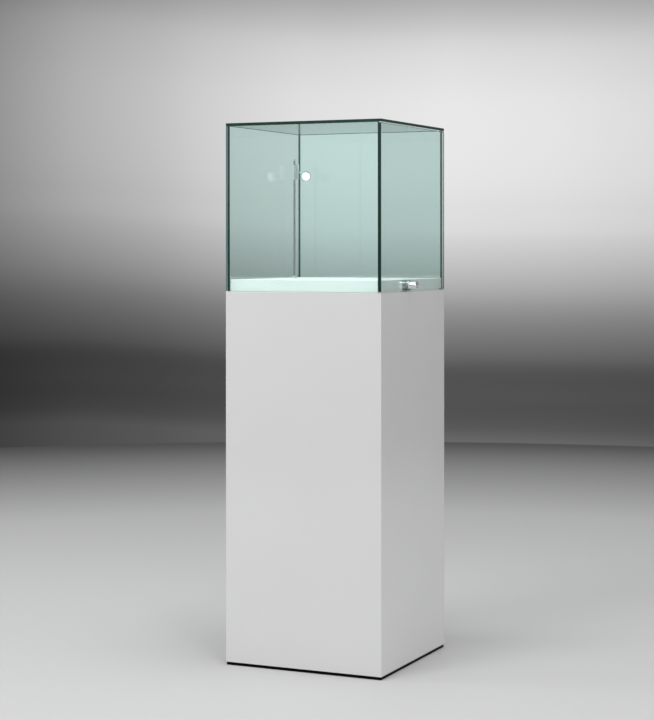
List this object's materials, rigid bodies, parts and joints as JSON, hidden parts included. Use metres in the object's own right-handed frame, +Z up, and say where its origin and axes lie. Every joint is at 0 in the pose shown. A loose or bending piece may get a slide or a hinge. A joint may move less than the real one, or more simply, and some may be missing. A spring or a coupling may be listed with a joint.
{
  "type": "display case",
  "caption": "Square glass display case with a locked side door and an adjustable pole lamp, on a tall plain white plinth with a recessed black base.",
  "frame": {"origin": "bottom centre of the outline, on the floor; the plinth's own centre line is 13.5 mm to the left (-X) because the lock stands out of the right-hand pane", "axes": "+Z up, -Y out of the front pane, +X out of the door"},
  "size_m": [0.527, 0.5, 1.605],
  "materials": {
    "white_lacquer": "gloss white lacquer on MDF",
    "raw_board": "raw MDF",
    "batten_wood": "matte",
    "black_lacquer": "satin black lacquer on MDF",
    "zinc_steel": "satin",
    "foot_black": "matte",
    "white_deck": "satin white lacquer on MDF",
    "float_glass": "polished",
    "white_tape": "matte",
    "clear_seal": "satin",
    "corner_sealant": "satin",
    "stainless": "brushed",
    "brass": "satin",
    "nylon": "satin",
    "chrome": "polished",
    "satin_aluminium": "satin",
    "knob_metal": "knurled",
    "lit_lens": "frosted",
    "led_board": "satin",
    "black_plastic": "matte",
    "driver_plastic": "matte"
  },
  "bodies": {
    "case": {"plinth_front_panel": "white_lacquer", "plinth_left_panel": "white_lacquer", "plinth_right_panel": "white_lacquer", "plinth_back_panel": "white_lacquer", "plinth_top_board": "raw_board", "plinth_bottom_board": "raw_board", "corner_battens": "batten_wood", "base_frame": "black_lacquer", "wood_screws": "zinc_steel", "small_screws": "zinc_steel", "foot_inserts": "zinc_steel", "deck_panel": "white_deck", "deck_rail_front": "white_deck", "deck_rail_back": "white_deck", "deck_rail_left": "white_deck", "deck_rail_right": "white_deck", "deck_screws": "zinc_steel", "glass_top": "float_glass", "glass_front": "float_glass", "glass_back": "float_glass", "glass_left": "float_glass", "corner_beads": "corner_sealant", "bedding_tape": "white_tape", "door_seal": "clear_seal", "pivot_plate_bottom": "stainless", "pivot_bush": "brass", "pivot_washer": "nylon", "pivot_plate_top": "stainless", "strike_plate": "stainless", "lamp_pole": "satin_aluminium", "lamp_flange": "satin_aluminium", "pole_nut": "zinc_steel", "pole_cap": "satin_aluminium", "cable_gland": "black_plastic", "gland_nut": "black_plastic", "led_driver": "driver_plastic", "lamp_lead": "black_plastic", "lead_clips": "black_plastic"},
    "foot_fl": {"foot_front_left": "foot_black"},
    "foot_fr": {"foot_front_right": "foot_black"},
    "foot_bl": {"foot_back_left": "foot_black"},
    "foot_br": {"foot_back_right": "foot_black"},
    "door": {"glass_door": "float_glass", "pivot_shoe_bottom": "stainless", "pivot_shoe_top": "stainless", "lock_barrel": "chrome", "lock_washers": "nylon", "lock_nut": "zinc_steel"},
    "lock": {"lock_plug": "chrome", "lock_cam": "stainless", "lock_cam_screw": "zinc_steel"},
    "slider": {"lamp_slider": "satin_aluminium", "slider_screw": "knob_metal", "pan_pin": "zinc_steel"},
    "arm": {"lamp_arm": "satin_aluminium", "tilt_nut": "knob_metal"},
    "head": {"lamp_housing": "satin_aluminium", "lamp_bezel": "satin_aluminium", "lamp_lens": "lit_lens", "lamp_board": "led_board"}
  },
  "joints": [
    {"name": "level_fl", "type": "slide", "parent": "case", "child": "foot_fl", "axis": [0, 0, -1], "range_m": [0, 0.012]},
    {"name": "level_fr", "type": "slide", "parent": "case", "child": "foot_fr", "axis": [0, 0, -1], "range_m": [0, 0.012]},
    {"name": "level_bl", "type": "slide", "parent": "case", "child": "foot_bl", "axis": [0, 0, -1], "range_m": [0, 0.012]},
    {"name": "level_br", "type": "slide", "parent": "case", "child": "foot_br", "axis": [0, 0, -1], "range_m": [0, 0.012]},
    {"name": "door_swing", "type": "hinge", "parent": "case", "child": "door", "pos_m": [0.2315, 0.245, 1.345], "axis": [0, 0, 1], "range_deg": [0, 100]},
    {"name": "lock_turn", "type": "hinge", "parent": "door", "child": "lock", "pos_m": [0.2365, -0.04, 1.126], "axis": [1, 0, 0], "range_deg": [0, 90]},
    {"name": "lamp_height", "type": "slide", "parent": "case", "child": "slider", "axis": [0, 0, 1], "range_m": [-0.28, 0.01]},
    {"name": "lamp_pan", "type": "hinge", "parent": "slider", "child": "arm", "pos_m": [-0.22598, 0.17044, 1.473], "axis": [0, 0, 1], "range_deg": [-75, 60]},
    {"name": "lamp_tilt", "type": "hinge", "parent": "arm", "child": "head", "pos_m": [-0.20269, 0.1813, 1.473], "axis": [0.9063, 0.4226, 0], "range_deg": [-30, 50]}
  ]
}
